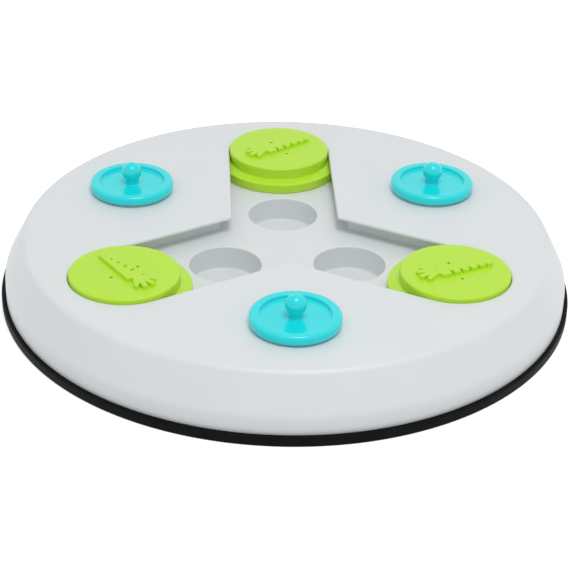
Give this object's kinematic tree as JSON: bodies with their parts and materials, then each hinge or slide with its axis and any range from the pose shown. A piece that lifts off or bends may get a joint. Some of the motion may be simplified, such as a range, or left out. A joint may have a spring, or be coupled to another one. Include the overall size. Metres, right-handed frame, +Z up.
{
  "type": "dog puzzle feeder",
  "caption": "Round treat puzzle for dogs: a raised board with sliding covers in a Y-shaped channel, lift-off lids over treat wells and a rubber ring under its rim.",
  "frame": {"origin": "middle of the underside, on the surface the board rests on", "axes": "+Z up, +Y to the rear along one arm of the channel, +X to the right"},
  "size_m": [0.3, 0.3, 0.0496],
  "materials": {
    "shell_grey": "fine satin, light grey",
    "tray_grey": "fine satin, light grey",
    "ring_rubber": "matt black",
    "slider_green": "soft gloss, lime green",
    "lid_turquoise": "soft gloss, turquoise",
    "screw_steel": "zinc plated"
  },
  "bodies": {
    "board": {"top_shell": "shell_grey", "channel_tray": "tray_grey", "base_plate": "tray_grey", "non_slip_ring": "ring_rubber", "housing_screws": "screw_steel"},
    "slider_rear": {"slider_rear": "slider_green"},
    "slider_left": {"slider_left": "slider_green"},
    "slider_right": {"slider_right": "slider_green"},
    "lid_right": {"lid_right": "lid_turquoise"},
    "lid_left": {"lid_left": "lid_turquoise"},
    "lid_front": {"lid_front": "lid_turquoise"}
  },
  "joints": [
    {"name": "slider_rear_slide", "type": "slide", "parent": "board", "child": "slider_rear", "axis": [0, -1, 0], "range_m": [0, 0.0566]},
    {"name": "slider_left_slide", "type": "slide", "parent": "board", "child": "slider_left", "axis": [0.866, 0.5, 0], "range_m": [0, 0.0566]},
    {"name": "slider_right_slide", "type": "slide", "parent": "board", "child": "slider_right", "axis": [-0.866, 0.5, 0], "range_m": [0, 0.0566]},
    {"name": "lid_right_lift", "type": "slide", "parent": "board", "child": "lid_right", "axis": [0, 0, 1], "range_m": [0, 0.06]},
    {"name": "lid_left_lift", "type": "slide", "parent": "board", "child": "lid_left", "axis": [0, 0, 1], "range_m": [0, 0.06]},
    {"name": "lid_front_lift", "type": "slide", "parent": "board", "child": "lid_front", "axis": [0, 0, 1], "range_m": [0, 0.06]}
  ]
}
